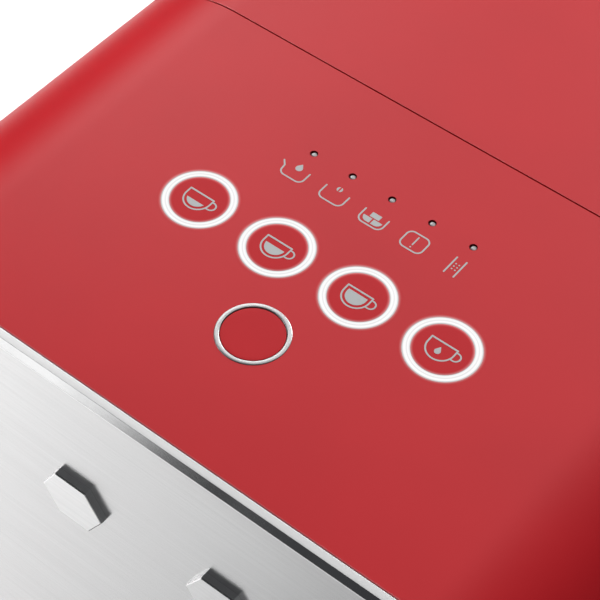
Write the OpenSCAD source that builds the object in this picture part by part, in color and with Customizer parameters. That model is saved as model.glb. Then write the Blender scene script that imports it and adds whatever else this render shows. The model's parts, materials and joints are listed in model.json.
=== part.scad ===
// Bean-to-cup espresso machine: a narrow case with a control deck, a steel head panel, a hinged
// hopper lid, a rear water tank, a sliding spout, a drip tray with grid, a grounds box, a burr
// grinder and a screw-driven brew unit.
// Millimetres. Front is -Y, +X is the viewer's right, +Z is up. The origin is on the bench under the
// centre of the case.

/* [Case] */
// Width of the case
case_w = 180; // [170:1:200]
// Overall depth, from the tray's nose to the back of the tank
case_d = 433; // [425:1:450]
// Overall height
case_h = 338; // [332:1:345]
// Radius of the two long top edges
shoulder_r = 32; // [26:1:36]
// Wall thickness of the painted shell
wall = 2.5; // [2:0.1:3]

/* [Control deck] */
// Distance between neighbouring drink buttons
button_pitch = 19.4; // [19:0.1:21]
// Distance of the drink buttons from the shell's front edge
button_row = 47.5; // [44:0.5:50]
// Distance of the power button from the shell's front edge
power_row = 28.2; // [25:0.1:29]
// Distance of the status lamps from the shell's front edge
lamp_row = 71.5; // [68:0.5:75]
// Distance between neighbouring status lamps
lamp_pitch = 9.7; // [8:0.1:11]
// Distance of the lid's front seam from the shell's front edge
seam_row = 93.8; // [92:0.1:96]
// Outer radius of a drink button's light ring
ring_outer_r = 7.55; // [7:0.05:7.8]
// Inner radius of a drink button's light ring
ring_inner_r = 6; // [5.5:0.05:6.3]
// Travel of a button
button_travel = 1.2; // [0.8:0.1:1.2]

/* [Head panel] */
// Thickness of the steel panel on the head
panel_t = 2.9; // [2.5:0.1:3.5]
// Width of the bevel round the panel's front edge
panel_bevel = 1.15; // [0.8:0.05:1.5]
// Distance between neighbouring badge studs
stud_pitch = 36.5; // [30:0.5:38]

/* [Cup space] */
// Height of the cup grid above the bench
grid_z = 49.5; // [45:0.5:50]
// Height of the underside of the head
head_z = 226; // [220:1:228]
// Downward travel of the spout
spout_travel = 50; // [40:1:52]

/* [Brew unit] */
// Lead of the brew unit's screw for each turn
screw_lead = 12; // [10:1:12]
// Turns of the screw from open to closed
screw_turns = 3; // [2:1:3]

/* [Hidden] */
$fn = 96;

shell_red = [0.72, 0.14, 0.16];
black = [0.09, 0.09, 0.1];
steel = [0.75, 0.75, 0.76];
chrome = [0.85, 0.85, 0.87];
smoke = [0.35, 0.37, 0.4, 0.5];
rubber = [0.12, 0.12, 0.12];
board_green = [0.1, 0.35, 0.2];
brass = [0.75, 0.6, 0.3];
grey = [0.5, 0.5, 0.52];
glow = [1, 1, 1];

half_w = case_w / 2;
half_d = case_d / 2;
nose_depth = 16.5;
shell_front = -half_d + nose_depth;
foot_h = 4;
floor_t = 4;
shell_z = foot_h + floor_t;
inner_w = case_w - 2 * wall;
eps = 0.02;

// Rows and columns of the control deck.
button_y = shell_front + button_row;
power_y = shell_front + power_row;
lamp_y = shell_front + lamp_row;
lamp_r = 0.85;
lamp_depth = 0.2;
power_ring_outer = 7.2;
power_ring_inner = 6.4;

// Hopper lid, its side seam and its hinge.
seam_gap = 0.4;
lid_front = shell_front + seam_row + seam_gap / 2;
lid_rear = 128;
lid_rear_gap = 1;
lid_side_z = case_h - 14;
lid_side_gap = 0.5;
lid_pin_y = 140;
lid_pin_z = case_h - 4.5;
lid_pin_r = 1.5;
lid_arm_x = 45;
lid_arm_w = 18;
deck_z = case_h - 20;
deck_t = 4;

// Tank bay at the back.
bay_y = 152;
seat_z = 110;
tank_y = 154;
tank_z = 112;
valve_x = 45;
valve_y = 182;
gland_x = 56;
gland_z = 34;
tank_top = 316;
tank_rear = half_d - 3;
tank_w = 172;
tank_wall = 2.5;
tank_corner = 16;
tank_pin_y = half_d - 2.3;
tank_pin_z = tank_top + 0.3;
tank_knuckle_r = 2.2;
tank_lug_x = 52;
tank_lug_w = 8;
low_rear = half_d - 2.5;

// Studs on the head panel.
stud_r = 7.65;
stud_t = 1.6;
stud_drop = 35.7;

// Cup space.
recess_y = shell_front + 102;
recess_r = 14;

// Spout.
spout_y = shell_front + 45;
rail_x = 20;
rail_r = 3;
neck_w = 26;
neck_d = 22;
spout_w = 52;
spout_d = 46;
spout_top = head_z - 1.5;
spout_h = 36;
carriage_z = 290;
bridge_z = case_h - 18.8;
board_z = case_h - 16;
hose_z = bridge_z - 2.7;

// Grounds box.
grounds_z = grid_z + 4.5;
grounds_h = 70;
grounds_rear = recess_y + 112;
grounds_w = 118;

// Drip tray.
tray_w = 168;
tray_z = 14;
tray_rear = recess_y + 80;
tray_wall = 2.5;
tray_ledge = 4;
grid_t = 3;

// Service door in the right side.
door_y = [-62, 62];
door_z = [80, 236];
door_gap = 0.5;

// Brew unit.
brew_x = 47;
bore_y = -8;
screw_y = 45;
screw_r = 4;
chamber_r = 19;
chamber_z = 140;
chamber_h = 45;
brew_bottom = 130;
brew_top = 238;
gear_module = 1.5;
screw_teeth = 28;
pinion_teeth = 10;
gear_z = 120;
gear_h = 8;

// Grinder.
grinder_x = -30;
grinder_y = 22;
grinder_z = 208;
grinder_h = 52;
burr_r = 24;
ring_teeth = 38;
dial_teeth = 10;
ring_z = grinder_z + 44;
shelf_z = grinder_z - 3;
chute_y = 4;

// ---------- helpers ----------

// Extrudes an outline drawn in (x, z) from y0 to y1.
module along_y(y0, y1) {
    translate([0, y1, 0]) rotate([90, 0, 0]) linear_extrude(y1 - y0) children();
}

// Extrudes an outline drawn in (y, z) from x0 to x1.
module along_x(x0, x1) {
    translate([x0, 0, 0]) rotate([90, 0, 90]) linear_extrude(x1 - x0) children();
}

// Extrudes an outline drawn in (x, y) from z0 to z1.
module along_z(z0, z1) {
    translate([0, 0, z0]) linear_extrude(z1 - z0) children();
}

// Box between two opposite corners.
module block(low, high) {
    translate(low) cube(high - low);
}

// Cylinder standing at a point.
module post(x, y, z0, z1, r) {
    translate([x, y, z0]) cylinder(h = z1 - z0, r = r);
}

// Cylinder along X.
module rod_x(x0, x1, y, z, r) {
    translate([x0, y, z]) rotate([0, 90, 0]) cylinder(h = x1 - x0, r = r);
}

// Cylinder along Y.
module rod_y(x, y0, y1, z, r) {
    translate([x, y0, z]) rotate([-90, 0, 0]) cylinder(h = y1 - y0, r = r);
}

// Rounded rectangle between two corners.
module round_rect(low, high, r) {
    translate([low[0] + r, low[1]]) square([high[0] - low[0] - 2 * r, high[1] - low[1]]);
    translate([low[0], low[1] + r]) square([high[0] - low[0], high[1] - low[1] - 2 * r]);
    for (x = [low[0] + r, high[0] - r], y = [low[1] + r, high[1] - r])
        translate([x, y]) circle(r);
}

// Rectangle whose two corners on the front (low y) side are rounded.
module front_rounded(low, high, r) {
    intersection() {
        translate(low) square(high - low);
        round_rect(low, [high[0], high[1] + 2 * r], r);
    }
}

// Rectangle whose two corners on the back (high y) side are rounded.
module back_rounded(low, high, r) {
    mirror([0, 1]) front_rounded([low[0], -high[1]], [high[0], -low[1]], r);
}

// The case's outline seen from the front, drawn inwards by inset, from z_low up.
module case_outline(inset, z_low) {
    flat = half_w - shoulder_r;
    intersection() {
        union() {
            translate([-flat, 0]) square([2 * flat, case_h - inset]);
            translate([-half_w + inset, 0])
                square([case_w - 2 * inset, case_h - shoulder_r]);
            for (side = [-1, 1])
                translate([side * flat, case_h - shoulder_r]) circle(shoulder_r - inset);
        }
        translate([-half_w - 1, z_low]) square([case_w + 2, case_h]);
    }
}

// A tube with the case's outline.
module case_tube(y0, y1, z_low) {
    difference() {
        along_y(y0, y1) case_outline(0, z_low);
        along_y(y0 - 1, y1 + 1) case_outline(wall, z_low - 1);
    }
}

// Involute point at a roll angle in degrees, on a base circle.
function involute(base, roll) = [
    base * (cos(roll) + roll * PI / 180 * sin(roll)),
    base * (sin(roll) - roll * PI / 180 * cos(roll))
];
function turn(p, a) = [p[0] * cos(a) - p[1] * sin(a), p[0] * sin(a) + p[1] * cos(a)];
function roll_at(base, r) = sqrt(max(0, pow(r / base, 2) - 1)) * 180 / PI;

// Outline of a spur gear with involute flanks and a little backlash.
module gear_outline(teeth, backlash = 0.16) {
    pitch_r = gear_module * teeth / 2;
    pressure = 25;
    base = pitch_r * cos(pressure);
    tip_r = pitch_r + 0.8 * gear_module;
    root_r = pitch_r - 1.1 * gear_module;
    start_r = max(base, root_r + 0.1);
    pitch_roll = roll_at(base, pitch_r);
    on_pitch = involute(base, pitch_roll);
    half_tooth = 90 / teeth - backlash / 2 / pitch_r * 180 / PI;
    shift = half_tooth + atan2(on_pitch[1], on_pitch[0]);
    steps = 4;
    flank = [
        for (i = [0:steps])
            let (r = start_r + (tip_r - start_r) * i / steps)
            turn(involute(base, roll_at(base, r)), -shift)
    ];
    root_a = atan2(flank[0][1], flank[0][0]);
    tooth = concat(
        [[root_r * cos(root_a), root_r * sin(root_a)]],
        flank,
        [for (i = [steps:-1:0]) [flank[i][0], -flank[i][1]]],
        [[root_r * cos(-root_a), root_r * sin(-root_a)]]
    );
    polygon([for (k = [0:teeth - 1]) for (p = tooth) turn(p, k * 360 / teeth)]);
}

// A hose through a list of points, with slightly swollen elbows.
module hose(points, r) {
    for (i = [0:len(points) - 2]) {
        run = points[i + 1] - points[i];
        translate(points[i])
            rotate([0, acos(run[2] / norm(run)), atan2(run[1], run[0])])
                cylinder(h = norm(run), r = r);
    }
    if (len(points) > 2)
        for (i = [1:len(points) - 2]) translate(points[i]) sphere(r + 0.15);
}

// ---------- case ----------

module body_shell() {
    color(shell_red) difference() {
        union() {
            case_tube(shell_front, bay_y, shell_z);
            case_tube(bay_y - eps, low_rear, shell_z);
            for (side = [-1, 1], edge = [-1, 1])
                translate([side * (lid_arm_x + edge * (lid_arm_w / 2 + 3.5)), 0, 0])
                    hinge_lug();
            // Blocks that the back panel's screws bite into.
            for (side = [-1, 1], z = [18, 92]) difference() {
                block([side * 81.8 - 6, low_rear - 18, z - 5], [side * 81.8 + 6, low_rear - 3.1, z + 5]);
                rod_y(side * 80, low_rear - 19, low_rear, z, 1.65);
            }
        }
        // Cup space, open to both sides.
        along_x(-half_w - 1, half_w + 1)
            round_rect([shell_front - 30, grid_z + 0.5], [recess_y, head_z], recess_r);
        // Room above the rear compartment for the tank.
        block([-half_w - 1, bay_y, seat_z], [half_w + 1, half_d + 1, case_h + 1]);
        // Opening that the hopper lid closes.
        block([-half_w - 1, lid_front - seam_gap, lid_side_z - lid_side_gap],
              [half_w + 1, lid_rear + lid_rear_gap, case_h + 1]);
        // Notches for the lid's two hinge arms.
        for (side = [-1, 1])
            block([side * lid_arm_x - lid_arm_w / 2 - 0.5, lid_rear, lid_pin_z - 9],
                  [side * lid_arm_x + lid_arm_w / 2 + 0.5, lid_pin_y + 4.5, case_h + 1]);
        // Doorway to the brew unit.
        along_x(half_w - wall - 1, half_w + 1)
            round_rect([door_y[0], door_z[0]], [door_y[1], door_z[1]], 8);
        for (i = [0:3]) post(button_x(i), button_y, case_h - 8, case_h + 1, ring_outer_r + 0.05);
        post(0, power_y, case_h - 8, case_h + 1, power_ring_outer + 0.05);
        for (i = [0:4]) post(lamp_x(i), lamp_y, case_h - 8, case_h + 1, lamp_r);
    }
}

function button_x(i) = (i - 1.5) * button_pitch;
function lamp_x(i) = (i - 2) * lamp_pitch;

// Lug under the rear bridge that carries the lid's hinge pin.
module hinge_lug() {
    difference() {
        block([-2.5, lid_pin_y - 5, lid_pin_z - 6], [2.5, lid_pin_y + 8, lid_pin_z + 3]);
        rod_x(-3, 3, lid_pin_y, lid_pin_z, lid_pin_r + 0.05);
    }
}

module base_frame() {
    color(black) difference() {
        union() {
            along_z(foot_h, shell_z)
                round_rect([-half_w + 2, shell_front + 1], [half_w - 2, low_rear], 10);
            // Rails that the drip tray runs between.
            for (side = [-1, 1])
                block([side * 85.6 - 0.9, shell_front + 4, shell_z - eps],
                      [side * 85.6 + 0.9, tray_rear + 6, grid_z - 6]);
            // Stop wall behind the tray.
            block([-84, tray_rear + 6, shell_z - eps], [84, tray_rear + 9, grid_z + 2]);
            // Bosses for the bottom screws.
            for (x = [-74, 74], y = [90, 160]) post(x, y, shell_z - eps, 30, 6);
        }
        for (x = [-74, 74], y = [90, 160]) post(x, y, foot_h - 1, 20, 1.6);
        for (y = [100:9:172]) block([-45, y, foot_h - 1], [45, y + 3, shell_z + 1]);
    }
}

module rubber_feet() {
    color(rubber) for (x = [-68, 68], y = [shell_front + 22, low_rear - 24]) {
        translate([x, y, 0]) cylinder(h = 1, r1 = 9.2, r2 = 10);
        post(x, y, 1 - eps, foot_h, 10);
    }
}

module front_panel() {
    outer = shell_front;
    color(steel) difference() {
        union() {
            along_y(outer - panel_t + panel_bevel, outer) case_outline(0, head_z - 8);
            // Bevelled front: a stack that narrows by its own depth.
            bevelled_face(outer);
        }
        // Bevel along the bottom edge.
        along_x(-half_w - 1, half_w + 1)
            polygon([
                [outer - panel_t - 1, head_z - 9], [outer - panel_t - 1, head_z - 7 + panel_bevel],
                [outer - panel_t + panel_bevel + 1, head_z - 9]
            ]);
        // Pocket in the back that hooks over the head frame.
        along_y(outer - 1, outer + 1) round_rect([-60, head_z + 8], [60, case_h - 16], 6);
    }
}

// The panel's front layer, cut at 45 degrees round its edge by cones and wedges.
module bevelled_face(outer) {
    front = outer - panel_t;
    flat = half_w - shoulder_r;
    low = head_z - 8;
    intersection() {
        along_y(front, outer - panel_t + panel_bevel + eps) case_outline(0, low);
        union() {
            for (side = [-1, 1])
                translate([side * flat, front + panel_bevel, case_h - shoulder_r])
                    rotate([90, 0, 0])
                        cylinder(h = panel_bevel, r1 = shoulder_r, r2 = shoulder_r - panel_bevel);
            along_x(-flat, flat)
                polygon([
                    [front, low], [front, case_h - panel_bevel],
                    [front + panel_bevel, case_h], [front + panel_bevel, low]
                ]);
            along_z(low, case_h - shoulder_r)
                polygon([
                    [-half_w, front + panel_bevel], [-half_w + panel_bevel, front],
                    [half_w - panel_bevel, front], [half_w, front + panel_bevel]
                ]);
        }
    }
}

// Four plain six-sided studs in a row.
module badge_studs() {
    color(chrome) for (i = [0:3])
        translate([(i - 1.5) * stud_pitch, 0, case_h - stud_drop])
            along_y(shell_front - panel_t - stud_t, shell_front - panel_t)
                circle(stud_r, $fn = 6);
}

module recess_panel() {
    low = grounds_z + grounds_h + 2;
    color(steel) {
        block([-inner_w / 2 + 0.3, recess_y, low], [inner_w / 2 - 0.3, recess_y + 1.5, head_z]);
        block([-inner_w / 2 + 0.3, recess_y + 1.5 - eps, head_z - 12],
              [inner_w / 2 - 0.3, recess_y + 12, head_z - 10.5]);
    }
}

module head_underside() {
    color(black) difference() {
        union() {
            block([-inner_w / 2 + 0.2, shell_front + 0.2, head_z],
                  [inner_w / 2 - 0.2, recess_y + 10, head_z + 3]);
            // Bridge that carries the rails' top ends and the control board.
            block([-40, spout_y - 14, bridge_z], [40, spout_y + 14, bridge_z + 1.8]);
            for (side = [-1, 1])
                block([side * 38.5 - 1.5, spout_y - 14, head_z + 3 - eps],
                      [side * 38.5 + 1.5, spout_y + 14, bridge_z + eps]);
            for (x = [-34, 34], y = [-10, 10])
                post(x, spout_y + y, bridge_z, board_z, 2.5);
        }
        along_z(head_z - 1, head_z + 4)
            round_rect([-neck_w / 2 - 1, spout_y - neck_d / 2 - 1],
                       [neck_w / 2 + 1, spout_y + neck_d / 2 + 1], 5);
        for (side = [-1, 1])
            post(side * rail_x, spout_y, head_z + 1, board_z - 0.5, rail_r + 0.02);
    }
}

module rear_panel() {
    color(black) difference() {
        union() {
            // Shelf that the tank stands on.
            block([-inner_w / 2 + 0.2, bay_y - 3, seat_z - 4], [inner_w / 2 - 0.2, low_rear, seat_z]);
            // Lower back wall.
            block([-inner_w / 2 + 0.2, low_rear - 3, shell_z],
                  [inner_w / 2 - 0.2, low_rear, seat_z - 4 + eps]);
        }
        // Vents low in the back wall.
        for (i = [0:6]) block([-60, low_rear - 4, 26 + 7 * i], [-14, low_rear + 1, 29 + 7 * i]);
        rod_y(gland_x, low_rear - 5, low_rear + 1, gland_z, 6);
        for (x = [-80, 80], z = [18, 92]) rod_y(x, low_rear - 4, low_rear + 1, z, 1.7);
        post(valve_x, valve_y, seat_z - 5, seat_z + 1, 8.1);
    }
}

module bay_wall() {
    color(black) along_y(bay_y - 3, bay_y) case_outline(wall + 0.2, seat_z);
}

module tank_seat() {
    color(black) difference() {
        union() {
            along_z(seat_z, seat_z + 1.5) round_rect([-66, tank_y + 8], [66, tank_rear - 8], 6);
            along_z(seat_z + 1.5 - eps, seat_z + 3)
                round_rect([-66, tank_y + 8], [-34, tank_rear - 8], 6);
            post(valve_x, valve_y, seat_z - 12, seat_z + eps, 8);
        }
        post(valve_x, valve_y, seat_z - 13, seat_z + 2, 4);
        post(valve_x, valve_y, seat_z - 0.5, seat_z + 2, 6);
    }
}

module cord_gland() {
    color(rubber) difference() {
        union() {
            rod_y(gland_x, low_rear - 8, low_rear + 1.5, gland_z, 5.95);
            rod_y(gland_x, low_rear, low_rear + 1.5, gland_z, 9);
            rod_y(gland_x, low_rear - 8, low_rear - 3.1, gland_z, 8);
        }
        rod_y(gland_x, low_rear - 9, low_rear + 3, gland_z, 3.6);
    }
}

module inner_chassis() {
    mid_y = grounds_rear + 4;
    color(grey) difference() {
        union() {
            block([3, mid_y, shell_z], [6, bay_y - 3.2, 243]);
            block([3, recess_y + 12.5, grounds_z + grounds_h + 6], [6, mid_y + eps, 243]);
            // Shelf under the grinder.
            block([-inner_w / 2 + 0.4, recess_y + 12.5, shelf_z], [3 + eps, bay_y - 3.2, grinder_z]);
            // Bracket for the brew unit's motor.
            block([6 - eps, screw_y - 14, 48], [32, screw_y + 14, 52]);
        }
        post(grinder_x, grinder_y, shelf_z - 1, grinder_z + 1, 10);
        rod_x(0, 8, 66, 120, 5);
        rod_x(0, 8, 182, 28, 6);
        block([2, chute_y - 13, grinder_z + 0.5], [7, chute_y + 13, grinder_z + 19]);
    }
}

// ---------- hopper and lid ----------

hopper_x = 60;
hopper_y = [-92, 46];
hopper_wall = 2;

module bean_hopper() {
    neck_z = ring_z + 10;
    straight_z = 292;
    color(smoke) difference() {
        union() {
            along_z(straight_z, deck_z)
                round_rect([-hopper_x, hopper_y[0]], [hopper_x, hopper_y[1]], 12);
            along_z(deck_z + deck_t, deck_z + deck_t + 1.6)
                round_rect([-hopper_x - 4, hopper_y[0] - 4], [hopper_x + 4, hopper_y[1] + 1.5], 13);
            along_z(deck_z - eps, deck_z + deck_t + eps)
                round_rect([-hopper_x, hopper_y[0]], [hopper_x, hopper_y[1]], 12);
            hopper_funnel(0, neck_z, straight_z);
            post(grinder_x, grinder_y, neck_z - 6, neck_z + eps, 19);
        }
        along_z(straight_z - eps, deck_z + 10)
            round_rect([-hopper_x + hopper_wall, hopper_y[0] + hopper_wall],
                       [hopper_x - hopper_wall, hopper_y[1] - hopper_wall], 10);
        hopper_funnel(hopper_wall, neck_z - eps, straight_z);
        post(grinder_x, grinder_y, neck_z - 7, neck_z + 1, 17);
    }
}

// The sloping part of the hopper, drawn inwards by inset.
module hopper_funnel(inset, z0, z1) {
    hull() {
        translate([grinder_x, grinder_y, z0]) cylinder(h = 0.1, r = 19 - inset, $fn = 32);
        translate([0, 0, z1 - 0.1]) linear_extrude(0.1)
            for (x = [-hopper_x + 12, hopper_x - 12], y = [hopper_y[0] + 12, hopper_y[1] - 12])
                translate([x, y]) circle(12 - inset, $fn = 32);
    }
}

module hopper_deck() {
    color(black) difference() {
        along_z(deck_z, deck_z + deck_t)
            square_between([-inner_w / 2 + 0.3, lid_front + 1], [inner_w / 2 - 0.3, lid_rear]);
        along_z(deck_z - 1, deck_z + deck_t + 1)
            round_rect([-hopper_x - 0.3, hopper_y[0] - 0.3], [hopper_x + 0.3, hopper_y[1] + 0.3], 12);
        post(grinder_x, dial_y, deck_z - 1, deck_z + deck_t + 1, 3.25);
        // The shoulders of the case pass outside the deck's long edges.
        difference() {
            block([-half_w, lid_front - 1, deck_z - 1], [half_w, lid_rear + 1, deck_z + 6]);
            along_y(lid_front - 2, lid_rear + 2) case_outline(wall + 0.3, 0);
        }
    }
}

module square_between(low, high) {
    translate(low) square(high - low);
}

module hopper_lid() {
    color(shell_red) difference() {
        union() {
            intersection() {
                case_tube(lid_front, lid_rear, lid_side_z);
                block([-half_w - 1, lid_front, lid_side_z], [half_w + 1, lid_rear, case_h + 1]);
            }
            // Rim that holds the seal.
            along_z(case_h - 11, case_h - wall + eps) difference() {
                round_rect([-54, hopper_y[0] + 6], [54, hopper_y[1] - 6], 10);
                round_rect([-51, hopper_y[0] + 9], [51, hopper_y[1] - 9], 7);
            }
            for (side = [-1, 1]) translate([side * lid_arm_x, 0, 0]) {
                block([-lid_arm_w / 2, lid_rear - 14, lid_pin_z - 3],
                      [lid_arm_w / 2, lid_pin_y, lid_pin_z + 2.5]);
                rod_x(-lid_arm_w / 2, lid_arm_w / 2, lid_pin_y, lid_pin_z, 3);
            }
        }
        rod_x(-80, 80, lid_pin_y, lid_pin_z, lid_pin_r + 0.05);
    }
}

module lid_seal() {
    color(rubber) along_z(case_h - 14.1, case_h - 11) difference() {
        round_rect([-55, hopper_y[0] + 5], [55, hopper_y[1] - 5], 11);
        round_rect([-50, hopper_y[0] + 10], [50, hopper_y[1] - 10], 6);
    }
}

module lid_hinge_pin() {
    color(steel) rod_x(-62, 62, lid_pin_y, lid_pin_z, lid_pin_r);
}

// ---------- controls ----------

module control_board() {
    color(board_green) {
        block([-64, shell_front + 8, board_z], [64, shell_front + 88, board_z + 1.6]);
        for (i = [0:3])
            block([button_x(i) - 3, button_y - 3, board_z + 1.6 - eps],
                  [button_x(i) + 3, button_y + 3, board_z + 3.2]);
        block([-3, power_y - 3, board_z + 1.6 - eps], [3, power_y + 3, board_z + 3.2]);
        for (i = [0:4])
            post(lamp_x(i), lamp_y, board_z + 1.6 - eps, board_z + 6, 1.5);
    }
}

module light_rings() {
    color(glow) for (i = [0:3])
        translate([button_x(i), button_y, 0]) ring_with_flange(ring_outer_r, ring_inner_r, 0);
}

module power_ring() {
    color(chrome) translate([0, power_y, 0])
        ring_with_flange(power_ring_outer, power_ring_inner, 0.25);
}

// A ring through the deck with a flange below it.
module ring_with_flange(outer, inner, proud) {
    difference() {
        union() {
            post(0, 0, case_h - 4, case_h + proud, outer);
            post(0, 0, case_h - 4, case_h - wall - 0.1, outer + 1.3);
        }
        post(0, 0, case_h - 5, case_h + 2, inner);
    }
}

module status_lenses() {
    color(grey) for (i = [0:4]) {
        post(lamp_x(i), lamp_y, case_h - 5, case_h - lamp_depth, lamp_r - 0.05);
        post(lamp_x(i), lamp_y, case_h - 9, case_h - wall - 0.1, 2);
    }
}

// A push button: cap, retaining flange and stem.
module push_button(x, y, r) {
    color(shell_red) {
        post(x, y, case_h - 5, case_h, r);
        post(x, y, case_h - 6, case_h - 4.2, r + 0.9);
        post(x, y, board_z + 3.2 + button_travel + 0.2, case_h - 6 + eps, 2);
    }
}

module cup_button(i) {
    push_button(button_x(i), button_y, ring_inner_r - 0.12);
}
module cup_button_1() { cup_button(0); }
module cup_button_2() { cup_button(1); }
module cup_button_3() { cup_button(2); }
module cup_button_4() { cup_button(3); }
module power_button() { push_button(0, power_y, power_ring_inner - 0.15); }

// ---------- spout ----------

module spout_rails() {
    color(chrome) for (side = [-1, 1])
        post(side * rail_x, spout_y, head_z + 1, bridge_z + 1.8, rail_r);
}

module spout_body() {
    bottom = spout_top - spout_h;
    color(black) difference() {
        union() {
            along_z(bottom, spout_top)
                round_rect([-spout_w / 2 + 1.5, spout_y - spout_d / 2 + 1.5],
                           [spout_w / 2 - 1.5, spout_y + spout_d / 2 - 1.5], 11);
            along_z(spout_top - eps, carriage_z + eps)
                round_rect([-neck_w / 2, spout_y - neck_d / 2], [neck_w / 2, spout_y + neck_d / 2], 4);
            along_z(carriage_z, carriage_z + 22)
                round_rect([-28, spout_y - neck_d / 2], [28, spout_y + neck_d / 2], 4);
        }
        for (side = [-1, 1])
            post(side * rail_x, spout_y, carriage_z - 1, carriage_z + 23, rail_r + 0.05);
        // Channel for the coffee hose, down to the two outlets.
        post(0, spout_y, bottom + 10, carriage_z + 23, 5);
        for (side = [-1, 1]) post(side * 9, spout_y, bottom - 1, bottom + 14, 3.5);
        rod_x(-12, 12, spout_y, bottom + 14, 3);
    }
}

module spout_cover() {
    color(chrome) difference() {
        along_z(spout_top - spout_h + 4, spout_top - 3)
            round_rect([-spout_w / 2, spout_y - spout_d / 2], [spout_w / 2, spout_y + spout_d / 2], 12.5);
        along_z(spout_top - spout_h + 3, spout_top)
            round_rect([-spout_w / 2 + 1.5, spout_y - spout_d / 2 + 1.5],
                       [spout_w / 2 - 1.5, spout_y + spout_d / 2 - 1.5], 11);
    }
}

module spout_nozzles() {
    color(chrome) for (side = [-1, 1])
        translate([side * 9, spout_y, spout_top - spout_h]) difference() {
            union() {
                translate([0, 0, -9]) cylinder(h = 9, r1 = 4, r2 = 5.5);
                translate([0, 0, -eps]) cylinder(h = 9, r = 3.45);
            }
            translate([0, 0, -10]) cylinder(h = 22, r = 2.2);
        }
}

// ---------- drip tray and grounds box ----------

module drip_tray() {
    color(black) difference() {
        along_z(tray_z, grid_z - 0.5)
            round_rect([-tray_w / 2, shell_front - 0.5], [tray_w / 2, tray_rear], 8);
        along_z(tray_z + tray_wall, grid_z)
            round_rect([-tray_w / 2 + tray_ledge, shell_front + 3.5],
                       [tray_w / 2 - tray_ledge, tray_rear - tray_wall], 6);
        // Rebate that the grid lies in.
        along_z(grid_z - grid_t, grid_z)
            round_rect([-tray_w / 2 + 1.5, shell_front + 1.5], [tray_w / 2 - 1.5, recess_y - 3], 6);
        // Finger notch under the nose.
        rod_x(-26, 26, shell_front - 2, tray_z - 2, 7);
    }
}

module tray_nose() {
    color(chrome) difference() {
        along_z(shell_z + 1, grid_z)
            front_rounded([-half_w, -half_d], [half_w, shell_front - 0.5], 15.5);
        along_z(shell_z + 4, grid_z - 2.5)
            front_rounded([-half_w + 2.5, -half_d + 2.5], [half_w - 2.5, shell_front], 13);
        rod_x(-26, 26, -half_d + 2, shell_z, 7);
    }
}

module drip_grid() {
    low = grid_z - grid_t;
    bars = 15;
    y0 = shell_front + 2;
    y1 = recess_y - 3.5;
    color(steel) difference() {
        along_z(low, grid_z)
            round_rect([-tray_w / 2 + 2, y0], [tray_w / 2 - 2, y1], 6);
        for (i = [0:bars - 1], side = [-1, 1]) {
            y = y0 + 7 + i * (y1 - y0 - 14) / (bars - 1);
            if (abs(y - float_y) > 9 || side < 0)
                block([side < 0 ? -tray_w / 2 + 9 : 4, y - 1.6, low - 1],
                      [side < 0 ? -4 : tray_w / 2 - 9, y + 1.6, grid_z + 1]);
        }
        post(float_x, float_y, low - 1, grid_z + 1, 7.2);
    }
}

float_x = 50;
float_y = shell_front + 24;

module tray_float() {
    color(shell_red) {
        post(float_x, float_y, tray_z + tray_wall, grid_z - 8, 11);
        post(float_x, float_y, grid_z - 8 - eps, grid_z - 0.5, 6.6);
    }
}

module grounds_box() {
    color(black) difference() {
        along_z(grounds_z, grounds_z + grounds_h)
            round_rect([-grounds_w / 2, recess_y + 2], [grounds_w / 2, grounds_rear], 10);
        along_z(grounds_z + 2, grounds_z + grounds_h + 1)
            round_rect([-grounds_w / 2 + 2, recess_y + 4], [grounds_w / 2 - 2, grounds_rear - 2], 8);
    }
}

module grounds_front() {
    color(steel) difference() {
        along_y(recess_y, recess_y + 2)
            round_rect([-inner_w / 2 + 0.4, grounds_z - 3.5],
                       [inner_w / 2 - 0.4, grounds_z + grounds_h + 1.5], 3);
        // Finger scoop at the top edge.
        rod_y(0, recess_y - 1, recess_y + 3, grounds_z + grounds_h + 9, 18);
    }
}

// ---------- water tank ----------

module water_tank() {
    color(smoke) difference() {
        union() {
            along_z(tank_z, tank_top)
                back_rounded([-tank_w / 2, tank_y], [tank_w / 2, tank_rear], tank_corner);
            // Lugs for the lid's pins.
            for (side = [-1, 1]) {
                block([side * tank_lug_x - tank_lug_w / 2, tank_rear - 1, tank_pin_z - 12],
                      [side * tank_lug_x + tank_lug_w / 2, tank_pin_y + tank_knuckle_r, tank_pin_z]);
                rod_x(side * tank_lug_x - tank_lug_w / 2, side * tank_lug_x + tank_lug_w / 2,
                      tank_pin_y, tank_pin_z, tank_knuckle_r);
            }
        }
        along_z(tank_z + tank_wall, tank_top + 8)
            back_rounded([-tank_w / 2 + tank_wall, tank_y + tank_wall],
                         [tank_w / 2 - tank_wall, tank_rear - tank_wall], tank_corner - tank_wall);
        // Hollow under the floor that drops over the seat's locating block.
        along_z(tank_z - 1, tank_z + 1)
            round_rect([-68, tank_y + 6], [68, tank_rear - 6], 4);
        along_z(tank_z - 1, tank_z + 1.2)
            round_rect([-68, tank_y + 6], [-32, tank_rear - 6], 4);
        post(valve_x, valve_y, tank_z - 1, tank_z + 5, 5);
        // Clearance for the lid's knuckles, and the pins' bores.
        for (x = knuckle_centres()) rod_x(x - 4.3, x + 4.3, tank_pin_y, tank_pin_z, 2.5);
        rod_x(-70, 70, tank_pin_y, tank_pin_z, 1.25);
    }
}

function knuckle_centres() = [
    for (side = [-1, 1], edge = [-1, 1]) side * tank_lug_x + edge * (tank_lug_w + 0.4)
];

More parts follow.
